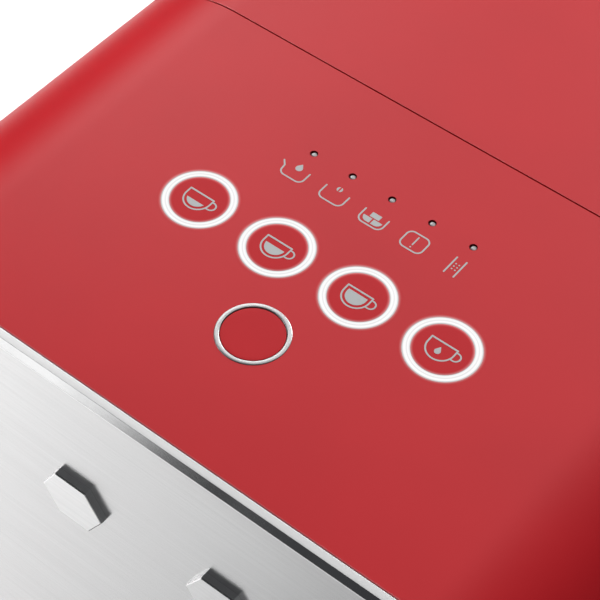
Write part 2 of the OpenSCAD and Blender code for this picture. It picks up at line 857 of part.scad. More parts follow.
module tank_lid() {
    skirt_z = tank_top + 0.6;
    gap_y = bay_y + 1;
    color(shell_red) difference() {
        union() {
            difference() {
                intersection() {
                    along_y(gap_y, half_d) case_outline(0, skirt_z);
                    along_z(skirt_z - 1, case_h + 1)
                        back_rounded([-half_w, gap_y], [half_w, half_d], 20);
                }
                intersection() {
                    along_y(gap_y + wall, half_d - wall) case_outline(wall, skirt_z - 1);
                    along_z(skirt_z - 1, case_h)
                        back_rounded([-half_w + wall, gap_y + wall],
                                     [half_w - wall, half_d - wall], 17.5);
                }
            }
            for (x = knuckle_centres())
                rod_x(x - tank_lug_w / 2, x + tank_lug_w / 2, tank_pin_y, tank_pin_z, tank_knuckle_r);
        }
        // Windows for the tank's lugs, and the pins' bores.
        for (side = [-1, 1])
            rod_x(side * tank_lug_x - tank_lug_w / 2 - 0.2, side * tank_lug_x + tank_lug_w / 2 + 0.2,
                  tank_pin_y, tank_pin_z, 2.6);
        rod_x(-70, 70, tank_pin_y, tank_pin_z, 1.25);
    }
}

module tank_lid_pin() {
    color(steel) for (side = [-1, 1])
        rod_x(side * tank_lug_x - 12, side * tank_lug_x + 12, tank_pin_y, tank_pin_z, 1.2);
}

module tank_valve() {
    color(rubber) {
        post(valve_x, valve_y, tank_z + tank_wall, tank_z + tank_wall + 3, 8);
        post(valve_x, valve_y, tank_z + 0.5, tank_z + tank_wall + eps, 4.8);
    }
}

// ---------- service door ----------

module service_door() {
    color(shell_red) {
        along_x(half_w - wall, half_w)
            round_rect([door_y[0] + door_gap, door_z[0] + door_gap],
                       [door_y[1] - door_gap, door_z[1] - door_gap], 8 - door_gap);
        for (y = [-40, 40])
            block([half_w - wall - 2, y - 8, door_z[0] + 6], [half_w - wall + eps, y + 8, door_z[0] + 9]);
    }
}

// ---------- brew unit ----------

module brew_frame() {
    color(grey) difference() {
        union() {
            block([brew_x - 26, -37, brew_bottom], [brew_x + 26, 56, brew_bottom + 4]);
            block([brew_x - 26, -37, brew_top - 4], [brew_x + 26, 56, brew_top]);
            block([brew_x - 30, -37, brew_bottom], [brew_x - 26 + eps, 56, brew_top]);
            post(brew_x, -33.4, brew_bottom, brew_top, 2.5);
        }
        // Window for the grinder's chute.
        block([brew_x - 31, chute_y - 13, grinder_z - 1],
              [brew_x - 25, chute_y + 13, grinder_z + 19]);
        post(brew_x, screw_y, brew_bottom - 1, brew_top + 1, screw_r + 0.05);
        post(brew_x, bore_y, brew_bottom - 1, brew_bottom + 5, 12);
        post(brew_x, bore_y, brew_top - 5, brew_top + 1, 6);
    }
}

module brew_chamber() {
    color(black) difference() {
        union() {
            post(brew_x, bore_y, chamber_z, chamber_z + chamber_h, chamber_r + 3);
            block([brew_x - 12, bore_y, chamber_z], [brew_x + 12, screw_y, chamber_z + 14]);
            post(brew_x, screw_y, chamber_z, chamber_z + 14, 10);
        }
        post(brew_x, bore_y, chamber_z + 8, chamber_z + chamber_h + 1, chamber_r);
        post(brew_x, screw_y, chamber_z - 1, chamber_z + 15, screw_r + 0.1);
    }
}

module brew_piston() {
    color(black) difference() {
        union() {
            post(brew_x, bore_y, chamber_z + 70, brew_top - 4, chamber_r - 0.5);
            post(brew_x, bore_y, brew_top - 4 - eps, brew_top + 6, 5.95);
        }
        post(brew_x, bore_y, chamber_z + 69, brew_top + 7, 2);
        translate([brew_x, bore_y, chamber_z + 75]) rotate_extrude()
            translate([chamber_r - 1.2, 0]) square([3, 2.4]);
    }
}

module piston_seal() {
    color(rubber) translate([brew_x, bore_y, chamber_z + 76.2]) rotate_extrude()
        translate([chamber_r - 1.15, -1.1]) square([1.1, 2.2]);
}

module lead_screw() {
    color(steel) {
        post(brew_x, screw_y, gear_z, brew_top + 2, screw_r);
        difference() {
            translate([brew_x, screw_y, gear_z]) linear_extrude(gear_h) gear_outline(screw_teeth);
            for (a = [0:60:300])
                translate([brew_x, screw_y, gear_z - 1]) rotate([0, 0, a]) translate([12.5, 0, 0])
                    cylinder(h = gear_h + 2, r = 4);
        }
    }
}

pinion_x = brew_x - gear_module * (screw_teeth + pinion_teeth) / 2;

module motor_pinion() {
    // Turned by half a tooth so that a gap faces the screw gear's tooth.
    color(brass) translate([pinion_x, screw_y, gear_z]) rotate([0, 0, 180 / pinion_teeth]) difference() {
        union() {
            linear_extrude(gear_h) gear_outline(pinion_teeth);
            translate([0, 0, -8]) cylinder(h = 8 + eps, r = 2.5);
        }
        translate([0, 0, 2]) cylinder(h = gear_h, r = 1.5);
    }
}

module brew_motor() {
    color(steel) difference() {
        union() {
            post(pinion_x, screw_y, 52, 108, 11.5);
            post(pinion_x, screw_y, 108 - eps, 114, 8);
        }
        post(pinion_x, screw_y, 110, 117, 2.55);
    }
}

// ---------- grinder ----------

dial_y = grinder_y + gear_module * (ring_teeth + dial_teeth) / 2;

module grinder_housing() {
    color(black) difference() {
        union() {
            post(grinder_x, grinder_y, grinder_z, ring_z - 0.2, 31);
            // Chute that carries ground coffee over to the brew unit.
            block([grinder_x, chute_y - 12, grinder_z + 1], [brew_x - 23.5, chute_y + 12, grinder_z + 18]);
        }
        post(grinder_x, grinder_y, grinder_z + 4, ring_z + 1, 27);
        post(grinder_x, grinder_y, grinder_z - 1, grinder_z + 5, 5);
        block([grinder_x + 16, chute_y - 9, grinder_z + 5], [brew_x - 22, chute_y + 9, grinder_z + 15]);
    }
}

module upper_burr() {
    color(steel) translate([grinder_x, grinder_y, 0]) difference() {
        union() {
            translate([0, 0, ring_z]) linear_extrude(8) gear_outline(ring_teeth);
            post(0, 0, ring_z - 12, ring_z + eps, burr_r);
        }
        post(0, 0, ring_z - 13, ring_z + 9, 19.5);
        // The grinding cone opens downwards.
        translate([0, 0, ring_z - 12 - eps]) cylinder(h = 6, r1 = 22.5, r2 = 19.5);
    }
}

module lower_burr() {
    color(steel) translate([grinder_x, grinder_y, 0]) difference() {
        union() {
            post(0, 0, grinder_z - 9, grinder_z + 12, 3);
            post(0, 0, grinder_z + 12 - eps, grinder_z + 22, 22);
            translate([0, 0, grinder_z + 22 - eps]) cylinder(h = 20, r1 = 18.5, r2 = 9);
        }
        for (a = [0:45:315])
            rotate([0, 0, a]) translate([19.2, 0, grinder_z + 20]) rotate([0, -25, 0])
                cylinder(h = 30, r = 1.6, $fn = 24);
    }
}

module grind_dial() {
    color(black) translate([grinder_x, dial_y, 0]) {
        rotate([0, 0, 180 / dial_teeth]) translate([0, 0, ring_z]) linear_extrude(8)
            gear_outline(dial_teeth);
        post(0, 0, ring_z + 8 - eps, deck_z + deck_t + 1, 3.2);
        difference() {
            post(0, 0, deck_z + deck_t + 0.4, deck_z + deck_t + 7, 9.8);
            for (a = [0:45:315])
                rotate([0, 0, a]) post(11.2, 0, deck_z, deck_z + deck_t + 8, 2.2, $fn = 24);
        }
    }
}

module grinder_motor() {
    color(steel) difference() {
        post(grinder_x, grinder_y, 142, shelf_z, 22);
        post(grinder_x, grinder_y, grinder_z - 10, grinder_z, 3.05);
    }
}

// ---------- water system and electrics ----------

pump_x = -48;
pump_z = 52;

module water_pump() {
    color(grey) {
        rod_y(pump_x, 70, 118, pump_z, 17);
        rod_y(pump_x, 58, 130, pump_z, 9);
        block([pump_x - 20, 78, shell_z], [pump_x + 20, 84, pump_z]);
        block([pump_x - 20, 104, shell_z], [pump_x + 20, 110, pump_z]);
    }
}

module flow_meter() {
    color(black) {
        post(20, 182, shell_z, 34, 13);
        rod_x(1.5, 38.5, 182, 28, 3.5);
    }
}

module thermoblock() {
    color([0.7, 0.7, 0.7]) difference() {
        union() {
            block([-80, 22, 90], [-56, 118, 150]);
            for (y = [34, 106]) block([-72, y - 4, 150 - eps], [-64, y + 4, shelf_z]);
        }
        for (z = [100, 140]) rod_y(-68, 20, 40, z, 4);
        rod_y(-68, 20, 34, 120, 2.6);
        rod_x(-64, -55, 66, 120, 2.6);
    }
}

module power_board() {
    color(board_green) {
        block([-84.5, -78, 120], [-82.9, 12, 196]);
        block([-82.9 - eps, -66, 130], [-64, -36, 160]);
        for (z = [136, 156, 176]) block([-82.9 - eps, -20, z], [-68, 2, z + 12]);
        for (y = [-72, 6], z = [126, 190]) rod_x(-inner_w / 2, -84.5 + eps, y, z, 3);
    }
}

module delivery_pipe() {
    color(chrome) {
        // Hose from the brew unit to the bridge.
        hose([
            [brew_x, bore_y, brew_top + 6], [brew_x, bore_y, brew_top + 14],
            [22, -70, 260], [0, spout_y + 33, hose_z]
        ], 2, $fn = 24);
        // Rigid elbow down into the spout.
        hose([[0, spout_y + 35, hose_z], [0, spout_y, hose_z], [0, spout_y, carriage_z - 45]],
             2.5, $fn = 32);
    }
}

module water_hoses() {
    color(glow) {
        // Tank coupling to flow meter.
        hose([[valve_x, valve_y, seat_z - 12], [valve_x, valve_y, 28], [38.5, 182, 28]], 2.8, $fn = 24);
        // Flow meter to pump.
        hose([[1.5, 182, 28], [pump_x, 182, 28], [pump_x, 182, pump_z], [pump_x, 130, pump_z]],
             2.8, $fn = 24);
        // Pump to heater.
        hose([[pump_x, 58, pump_z], [pump_x, 40, pump_z], [-70, 12, 90], [-68, 12, 120], [-68, 34, 120]],
             2.4, $fn = 24);
        // Heater to brew unit.
        hose([[-64, 66, 120], [10, 66, 120], [10, 52, 160], [brew_x - 30, 52, 160]], 2.4, $fn = 24);
    }
}

module case_screws() {
    color(steel) {
        for (x = [-74, 74], y = [90, 160]) {
            post(x, y, foot_h - 1.4, foot_h, 3);
            post(x, y, foot_h - eps, 18, 1.5);
        }
        for (x = [-80, 80], z = [18, 92]) {
            rod_y(x, low_rear, low_rear + 1.4, z, 3);
            rod_y(x, low_rear - 7, low_rear + eps, z, 1.6);
        }
    }
}

body_shell();
base_frame();
rubber_feet();
front_panel();
badge_studs();
recess_panel();
head_underside();
rear_panel();
bay_wall();
tank_seat();
cord_gland();
inner_chassis();
bean_hopper();
hopper_deck();
hopper_lid();
lid_seal();
lid_hinge_pin();
control_board();
light_rings();
status_lenses();
power_ring();
cup_button_1();
cup_button_2();
cup_button_3();
cup_button_4();
power_button();
spout_rails();
spout_body();
spout_cover();
spout_nozzles();
drip_tray();
tray_nose();
drip_grid();
tray_float();
grounds_box();
grounds_front();
water_tank();
tank_lid();
tank_lid_pin();
tank_valve();
service_door();
brew_frame();
brew_chamber();
brew_piston();
piston_seal();
lead_screw();
motor_pinion();
brew_motor();
grinder_housing();
upper_burr();
lower_burr();
grind_dial();
grinder_motor();
water_pump();
flow_meter();
thermoblock();
power_board();
delivery_pipe();
water_hoses();
case_screws();
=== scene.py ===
import json
import math
from collections import Counter

import bmesh
import bpy
from mathutils import Matrix, Vector


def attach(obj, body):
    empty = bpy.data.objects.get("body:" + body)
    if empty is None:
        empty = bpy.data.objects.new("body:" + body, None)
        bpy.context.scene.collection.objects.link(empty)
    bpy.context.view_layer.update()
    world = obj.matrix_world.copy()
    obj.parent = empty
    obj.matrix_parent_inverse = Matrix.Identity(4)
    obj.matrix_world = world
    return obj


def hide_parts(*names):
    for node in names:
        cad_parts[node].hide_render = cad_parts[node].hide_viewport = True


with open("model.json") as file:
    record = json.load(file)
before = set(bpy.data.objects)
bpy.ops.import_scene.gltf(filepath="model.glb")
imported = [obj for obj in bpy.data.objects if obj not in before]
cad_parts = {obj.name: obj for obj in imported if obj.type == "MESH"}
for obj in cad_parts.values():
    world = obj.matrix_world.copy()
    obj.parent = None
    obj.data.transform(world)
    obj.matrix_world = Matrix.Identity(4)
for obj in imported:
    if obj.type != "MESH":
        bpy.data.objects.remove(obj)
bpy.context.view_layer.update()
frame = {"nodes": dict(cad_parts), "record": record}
nodes = frame["nodes"]

MM = 0.001
HALF_W = 90.0
TOP = 338.0
FRONT = -200.0
SHOULDER = 32.0
PANEL_T = 2.9
SEAM_FRONT = -106.4
BUTTON_Y = FRONT + 47.5
POWER_Y = FRONT + 28.2
LAMP_Y = FRONT + 71.5
BUTTON_X = [-29.1, -9.7, 9.7, 29.1]
LAMP_X = [-19.4, -9.7, 0.0, 9.7, 19.4]


# ---------------------------------------------------------------- materials


def new_material(name):
    mat = bpy.data.materials.new(name)
    mat.use_nodes = True
    tree = mat.node_tree
    tree.nodes.clear()
    out = tree.nodes.new("ShaderNodeOutputMaterial")
    bsdf = tree.nodes.new("ShaderNodeBsdfPrincipled")
    tree.links.new(bsdf.outputs["BSDF"], out.inputs["Surface"])
    return mat, tree, bsdf


def object_coords(tree, scale=(1, 1, 1)):
    coord = tree.nodes.new("ShaderNodeTexCoord")
    mapping = tree.nodes.new("ShaderNodeMapping")
    mapping.inputs["Scale"].default_value = scale
    tree.links.new(coord.outputs["Object"], mapping.inputs["Vector"])
    return mapping.outputs["Vector"]


def noise(tree, vector, scale, detail=2.0, rough=0.5):
    n = tree.nodes.new("ShaderNodeTexNoise")
    n.inputs["Scale"].default_value = scale
    n.inputs["Detail"].default_value = detail
    n.inputs["Roughness"].default_value = rough
    tree.links.new(vector, n.inputs["Vector"])
    return n.outputs["Fac"]


def spread(tree, value, low, high, from_low=0.3, from_high=0.7):
    r = tree.nodes.new("ShaderNodeMapRange")
    r.inputs["From Min"].default_value = from_low
    r.inputs["From Max"].default_value = from_high
    r.inputs["To Min"].default_value = low
    r.inputs["To Max"].default_value = high
    tree.links.new(value, r.inputs["Value"])
    return r.outputs["Result"]


def mix_colors(tree, fac, a, b):
    m = tree.nodes.new("ShaderNodeMix")
    m.data_type = "RGBA"
    m.inputs["A"].default_value = (*a, 1)
    m.inputs["B"].default_value = (*b, 1)
    tree.links.new(fac, m.inputs["Factor"])
    return m.outputs["Result"]


def bump(tree, bsdf, height, strength, distance):
    b = tree.nodes.new("ShaderNodeBump")
    b.inputs["Strength"].default_value = strength
    b.inputs["Distance"].default_value = distance
    tree.links.new(height, b.inputs["Height"])
    tree.links.new(b.outputs["Normal"], bsdf.inputs["Normal"])


def scaled(color, k):
    return tuple(c * k for c in color)


def painted(name, color, rough=0.45, spec=0.5, grain=4200.0, grain_strength=0.06, vary=0.03):
    """Matt coloured surface with a very fine grain and slow, faint changes in shade."""
    mat, tree, bsdf = new_material(name)
    vec = object_coords(tree)
    slow = noise(tree, vec, 38.0, 3.0)
    fine = noise(tree, vec, grain, 2.0, 0.6)
    color_out = mix_colors(
        tree, spread(tree, slow, 0, 1), scaled(color, 1 - vary), scaled(color, 1 + vary)
    )
    tree.links.new(color_out, bsdf.inputs["Base Color"])
    tree.links.new(
        spread(tree, fine, rough - 0.03, rough + 0.03), bsdf.inputs["Roughness"]
    )
    bsdf.inputs["Specular IOR Level"].default_value = spec
    bump(tree, bsdf, fine, grain_strength, 0.00004)
    return mat


def brushed(name, color, rough=0.3, along="z", strength=0.12, streak=2600.0, vary=0.03):
    """Brushed metal whose scratches run along one axis of the object."""
    mat, tree, bsdf = new_material(name)
    stretch = {"x": (0.012, 1, 1), "y": (1, 0.012, 1), "z": (1, 1, 0.012)}[along]
    vec = object_coords(tree, stretch)
    fine = noise(tree, vec, streak, 3.0, 0.65)
    broad = noise(tree, vec, 130.0, 2.0, 0.5)
    color_out = mix_colors(
        tree, spread(tree, fine, 0, 1), scaled(color, 1 - vary), scaled(color, 1 + vary)
    )
    tree.links.new(color_out, bsdf.inputs["Base Color"])
    bsdf.inputs["Metallic"].default_value = 1.0
    tree.links.new(
        spread(tree, broad, rough - 0.025, rough + 0.025), bsdf.inputs["Roughness"]
    )
    bump(tree, bsdf, fine, strength, 0.00003)
    return mat


def polished(name, color, rough=0.08):
    mat, tree, bsdf = new_material(name)
    vec = object_coords(tree)
    slow = noise(tree, vec, 60.0, 3.0)
    tree.links.new(
        mix_colors(tree, spread(tree, slow, 0, 1), scaled(color, 0.98), scaled(color, 1.01)),
        bsdf.inputs["Base Color"],
    )
    bsdf.inputs["Metallic"].default_value = 1.0
    tree.links.new(spread(tree, slow, rough, rough * 1.5), bsdf.inputs["Roughness"])
    bump(tree, bsdf, noise(tree, vec, 900.0, 2.0), 0.02, 0.00003)
    return mat


def glassy(name, color, rough=0.06):
    mat, tree, bsdf = new_material(name)
    vec = object_coords(tree)
    slow = noise(tree, vec, 45.0, 3.0)
    tree.links.new(
        mix_colors(tree, spread(tree, slow, 0, 1), scaled(color, 0.95), scaled(color, 1.05)),
        bsdf.inputs["Base Color"],
    )
    bsdf.inputs["Transmission Weight"].default_value = 0.95
    bsdf.inputs["IOR"].default_value = 1.45
    tree.links.new(spread(tree, slow, rough, rough * 1.6), bsdf.inputs["Roughness"])
    bump(tree, bsdf, noise(tree, vec, 700.0, 2.0), 0.03, 0.00003)
    return mat


def lit(name, color, strength):
    """Milky diffuser lit from behind."""
    mat, tree, bsdf = new_material(name)
    vec = object_coords(tree)
    slow = noise(tree, vec, 300.0, 2.0)
    bsdf.inputs["Base Color"].default_value = (0.85, 0.85, 0.85, 1)
    bsdf.inputs["Roughness"].default_value = 0.5
    bsdf.inputs["Emission Color"].default_value = (*color, 1)
    tree.links.new(
        spread(tree, slow, strength * 0.98, strength * 1.02), bsdf.inputs["Emission Strength"]
    )
    return mat


RED = (0.5, 0.0105, 0.0165)
MATS = {
    "red": painted("red_paint", RED, 0.41, 0.155),
    "button_red": painted("button_red", (0.483, 0.0098, 0.0156), 0.48, 0.11),
    "steel": brushed("brushed_steel", (0.54, 0.54, 0.54), 0.2, "x", 0.22, 1700.0, 0.06),
    "steel_plain": brushed("plain_steel", (0.62, 0.62, 0.63), 0.35, "y", 0.08, 1400.0),
    "chamfer": polished("polished_steel", (0.52, 0.52, 0.52), 0.11),
    # Polished steel for the round between the panel's chamfer and face, paler than the face: partly
    # a polished edge, partly a painted highlight.
    "polished_edge_painted_highlight": polished("polished_edge_painted_highlight", (0.74, 0.74, 0.74), 0.15),
    "chrome": polished("chrome", (0.86, 0.86, 0.87), 0.06),
    "black": painted("black_plastic", (0.022, 0.022, 0.024), 0.5, 0.5, 2600.0, 0.25),
    "grey": painted("grey_plastic", (0.17, 0.17, 0.18), 0.5, 0.5, 2200.0, 0.2),
    "rubber": painted("rubber", (0.018, 0.018, 0.018), 0.75, 0.3, 1800.0, 0.3),
    "smoke": glassy("smoked_tank", (0.36, 0.38, 0.40)),
    "board": painted("circuit_board", (0.02, 0.11, 0.05), 0.35, 0.5, 900.0, 0.1, 0.2),
    "brass": polished("brass", (0.72, 0.5, 0.2), 0.25),
    "alu": painted("cast_aluminium", (0.45, 0.45, 0.46), 0.55, 0.5, 1500.0, 0.3),
    "hose": painted("silicone", (0.62, 0.62, 0.58), 0.4, 0.5, 1200.0, 0.05),
    # Paler, glossier red for the bevels of the red pieces: its pale colour is a painted highlight
    # along their edges.
    "painted_highlight_edge": painted("painted_highlight_edge", (0.72, 0.125, 0.135), 0.2, 1.0),
    "float": painted("float_red", (0.45, 0.012, 0.012), 0.3, 0.5),
    "print": painted("printed_grey", (0.44, 0.455, 0.455), 0.6, 0.25),
    "lens": painted("lamp_lens", (0.36, 0.36, 0.36), 0.3, 0.5),
    # Very dark red lining for the lamp holes: a darkened copy of the shell's red, painted shade
    # inside the holes.
    "painted_shade_well": painted("lamp_well", (0.12, 0.004, 0.006), 0.6, 0.1),
    # Rougher brushed steel for the narrow band along the panel's top, darker than the face: the
    # rougher brushing is a finish, the darkness is painted shade.
    "painted_shade_strip": brushed("panel_edge", (0.345, 0.345, 0.345), 0.4, "x", 0.05),
    "stud": brushed("stud_face", (0.66, 0.66, 0.66), 0.3, "x", 0.2, 1700.0, 0.05),
    "stud_side": brushed("stud_side", (0.78, 0.78, 0.78), 0.3, "y", 0.08),
    "screw": polished("screw_steel", (0.5, 0.5, 0.5), 0.2),
    "bezel": brushed("bezel", (0.26, 0.26, 0.26), 0.38, "z", 0.03),
    "ring": lit("ring_light", (1.0, 1.0, 1.0), 1.35),
}
SLOT_MATS = {
    "shell_red": "red", "button_red": "button_red", "brushed_steel": "steel", "chrome": "chrome",
    "plain_steel": "steel_plain", "black_plastic": "black", "grey_plastic": "grey",
    "smoked_clear": "smoke", "rubber": "rubber", "board_green": "board", "ring_light": "ring",
    "lens_grey": "lens", "float_red": "float", "brass": "brass", "cast_aluminium": "alu",
    "hose_white": "hose",
}
node_slot = {s["node"]: s["material_slot"] for s in frame["record"]["subparts"]}


# ---------------------------------------------------------------- helpers


def set_material(obj, mat):
    obj.data.materials.clear()
    obj.data.materials.append(mat)


KEYS_HALF_W = 45.0
KEYS_FRONT, KEYS_REAR = -190.0, -115.0
DECK_LOW = 300.0


def on_deck(p):
    """True at the holes for the keys and lamps and at the lid's seam, whose rims stay sharp."""
    if p.z < DECK_LOW * MM:
        return False
    keys = abs(p.x) < KEYS_HALF_W * MM and KEYS_FRONT * MM < p.y < KEYS_REAR * MM
    return keys or abs(p.y - SEAM_FRONT * MM) < 0.3 * MM


def mark_edges(mesh, angle):
    """Gives the sharp edges a bevel weight. Faces that meet have vertices of their own here."""

    def place(i):
        return tuple(round(c * 1e5) for c in mesh.vertices[i].co)

    meeting = {}
    for poly in mesh.polygons:
        corners = list(poly.vertices)
        for a, b in zip(corners, corners[1:] + corners[:1]):
            meeting.setdefault(frozenset((place(a), place(b))), []).append(poly.normal.copy())
    weights = mesh.attributes.new("bevel_weight_edge", "FLOAT", "EDGE")
    for e in mesh.edges:
        a, b = e.vertices
        normals = meeting.get(frozenset((place(a), place(b))), [])
        if len(normals) == 2 and normals[0].angle(normals[1], 0.0) > angle:
            if not on_deck((mesh.vertices[a].co + mesh.vertices[b].co) / 2):
                weights.data[e.index].value = 1.0


BEVEL_SEGMENTS = 3
BEVEL_ANGLE = 32.0
SPLIT_ANGLE = 40.0


def bevel(obj, width):
    weld = obj.modifiers.new("weld", "WELD")
    weld.merge_threshold = 0.01 * MM
    mark_edges(obj.data, math.radians(BEVEL_ANGLE))
    m = obj.modifiers.new("edge", "BEVEL")
    m.width = width * MM
    m.segments = BEVEL_SEGMENTS
    m.limit_method = "WEIGHT"
    m.face_strength_mode = "FSTR_ALL"
    m.miter_outer = "MITER_ARC"
    return m


def smooth(obj):
    for poly in obj.data.polygons:
        poly.use_smooth = True
    obj.data.update()


def mesh_object(name, verts, faces, body, mat, smooth_shaded=True):
    mesh = bpy.data.meshes.new(name)
    mesh.from_pydata([Vector(v) * MM for v in verts], [], faces)
    mesh.validate()
    obj = bpy.data.objects.new(name, mesh)
    bpy.context.scene.collection.objects.link(obj)
    set_material(obj, mat)
    if smooth_shaded:
        smooth(obj)
    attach(obj, body)
    return obj


for node_name, obj in nodes.items():
    set_material(obj, MATS[SLOT_MATS[node_slot[node_name]]])


# ---------------------------------------------------------------- head panel


def case_outline(inset, low, steps=28):
    """Points (x, z) of the case's outline, drawn inwards by inset, from the bottom left round."""
    r = SHOULDER - inset
    pts = [(-HALF_W + inset, low + inset)]
    for side, start in ((-1, math.pi), (1, math.pi / 2)):
        for i in range(steps + 1):
            a = start - i * math.pi / 2 / steps
            centre_x = side * (HALF_W - SHOULDER)
            pts.append((centre_x + r * math.cos(a), TOP - SHOULDER + r * math.sin(a)))
    pts.append((HALF_W - inset, low + inset))
    return pts


def loft(name, loops, body, mats, zones=None, caps=(True, True)):
    """Skin through closed loops of equal length. zones gives each band's material number."""
    verts = [p for loop in loops for p in loop]
    n = len(loops[0])
    faces, numbers = [], []
    for k in range(len(loops) - 1):
        for i in range(n):
            j = (i + 1) % n
            faces.append((k * n + i, k * n + j, (k + 1) * n + j, (k + 1) * n + i))
            numbers.append(zones[k] if zones else 0)
    if caps[0]:
        faces.append(tuple(range(n))[::-1])
        numbers.append(zones[0] if zones else 0)
    if caps[1]:
        faces.append(tuple(range((len(loops) - 1) * n, len(loops) * n)))
        numbers.append(zones[-1] if zones else 0)
    obj = mesh_object(name, verts, faces, body, mats[0])
    for extra in mats[1:]:
        obj.data.materials.append(extra)
    for poly, number in zip(obj.data.polygons, numbers):
        poly.material_index = number
    fix_normals(obj, 25.0)
    weighted(obj)
    return obj


def fix_normals(obj, sharp=180.0):
    bm = bmesh.new()
    bm.from_mesh(obj.data)
    bmesh.ops.recalc_face_normals(bm, faces=bm.faces[:])
    for e in bm.edges:
        e.smooth = e.calc_face_angle(0.0) < math.radians(sharp)
    bm.to_mesh(obj.data)
    bm.free()


def weighted(obj, flats_first=False):
    m = obj.modifiers.new("normals", "WEIGHTED_NORMAL")
    m.use_face_influence = flats_first
    m.keep_sharp = True
    m.weight = 100


PANEL_LOW = 218.0
PANEL_BEVEL = 1.18
panel_loops = []
for inset, y in (
    (0.35, FRONT - 0.01),
    (0.16, FRONT - 0.03),
    (0.04, FRONT - 0.09),
    (0.0, FRONT - 0.2),
    (0.0, FRONT - PANEL_T + PANEL_BEVEL + 0.03),
    (0.008, FRONT - PANEL_T + PANEL_BEVEL),
    (0.03, FRONT - PANEL_T + PANEL_BEVEL - 0.03),
    (PANEL_BEVEL - 0.1, FRONT - PANEL_T + 0.1),
    (PANEL_BEVEL + 0.16, FRONT - PANEL_T + 0.02),
    (PANEL_BEVEL + 0.4, FRONT - PANEL_T),
):
    panel_loops.append([(x, y, z) for x, z in case_outline(inset, PANEL_LOW)])
panel = loft(
    "head_panel",
    panel_loops,
    "chassis",
    [MATS["steel"], MATS["painted_shade_strip"], MATS["chamfer"], MATS["polished_edge_painted_highlight"]],
    [1, 1, 1, 1, 1, 2, 2, 3, 0, 0],
)
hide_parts("front_panel")


# Six-sided studs with narrow bevelled edges.
STUD_Z = TOP - 35.7
STUD_PITCH = 36.5
STUD_R = 7.65
for i in range(4):
    cx = (i - 1.5) * STUD_PITCH
    loops = []
    for inset, y in (
        (0.0, FRONT - PANEL_T),
        (0.0, FRONT - PANEL_T - 1.35),
        (0.05, FRONT - PANEL_T - 1.46),
        (0.22, FRONT - PANEL_T - 1.6),
    ):
        r = STUD_R - inset / math.cos(math.pi / 6)
        loops.append(
            [
                (cx + r * math.cos(k * math.pi / 3), y, STUD_Z + r * math.sin(k * math.pi / 3))
                for k in range(6)
            ]
        )
    stud = loft(
        f"badge_stud_{i + 1}", loops, "chassis",
        [MATS["stud"], MATS["stud_side"], MATS["chamfer"]], [1, 2, 2], (False, True),
    )
    stud.data.polygons[-1].material_index = 0
    for poly in stud.data.polygons:
        poly.use_smooth = False
    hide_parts("badge_studs")


# ---------------------------------------------------------------- lit rings


def radius_from_axis(tree):
    """Distance from the object's own upright axis."""
    coord = tree.nodes.new("ShaderNodeTexCoord")
    flat = tree.nodes.new("ShaderNodeVectorMath")
    flat.operation = "MULTIPLY"
    flat.inputs[1].default_value = (1, 1, 0)
    length = tree.nodes.new("ShaderNodeVectorMath")
    length.operation = "LENGTH"
    tree.links.new(coord.outputs["Object"], flat.inputs[0])
    tree.links.new(flat.outputs["Vector"], length.inputs[0])
    return length.outputs["Value"]


def ramp(tree, value, stops, low, high):
    """Levels given as (position, level) between low and high of value."""
    r = tree.nodes.new("ShaderNodeValToRGB")
    r.color_ramp.interpolation = "EASE"
    points = r.color_ramp.elements
    while len(points) < len(stops):
        points.new(0.5)
    for point, (where, level) in zip(points, stops):
        point.position = (where - low) / (high - low)
        point.color = (level, level, level, 1)
    tree.links.new(spread(tree, value, 0, 1, low * MM, high * MM), r.inputs["Fac"])
    return r.outputs["Color"]


def ring_material():
    """Milky diffuser with a faint groove halfway across, dimmer at both rims."""
    mat, tree, bsdf = new_material("ring_diffuser")
    stops = [
        (5.98, 0.46), (6.2, 0.84), (6.45, 0.96), (6.72, 0.77), (7.0, 0.95), (7.28, 0.88),
        (7.52, 0.38),
    ]
    level = ramp(tree, radius_from_axis(tree), stops, 5.9, 7.6)
    bsdf.inputs["Base Color"].default_value = (0.02, 0.02, 0.02, 1)
    bsdf.inputs["Roughness"].default_value = 0.5
    bsdf.inputs["Specular IOR Level"].default_value = 0.2
    bsdf.inputs["Emission Strength"].default_value = 1.0
    tree.links.new(level, bsdf.inputs["Emission Color"])
    return mat


def painted_halo_material(name, inner, outer, strength):
    """Painted light round a lit ring: an emitting film over the deck, full at radius inner, gone at
    radius outer.
    """
    mat = bpy.data.materials.new(name)
    mat.use_nodes = True
    tree = mat.node_tree
    tree.nodes.clear()
    out = tree.nodes.new("ShaderNodeOutputMaterial")
    mix = tree.nodes.new("ShaderNodeMixShader")
    clear = tree.nodes.new("ShaderNodeBsdfTransparent")
    glow = tree.nodes.new("ShaderNodeEmission")
    glow.inputs["Color"].default_value = (1, 0.97, 0.97, 1)
    glow.inputs["Strength"].default_value = 1.0
    fall = spread(tree, radius_from_axis(tree), 1.0, 0.0, inner * MM, outer * MM)
    power = tree.nodes.new("ShaderNodeMath")
    power.operation = "POWER"
    power.inputs[1].default_value = 2.0
    tree.links.new(fall, power.inputs[0])
    amount = tree.nodes.new("ShaderNodeMath")
    amount.operation = "MULTIPLY"
    amount.inputs[1].default_value = strength
    tree.links.new(power.outputs["Value"], amount.inputs[0])
    tree.links.new(amount.outputs["Value"], mix.inputs["Fac"])
    tree.links.new(clear.outputs["BSDF"], mix.inputs[1])
    tree.links.new(glow.outputs["Emission"], mix.inputs[2])
    tree.links.new(mix.outputs["Shader"], out.inputs["Surface"])
    return mat


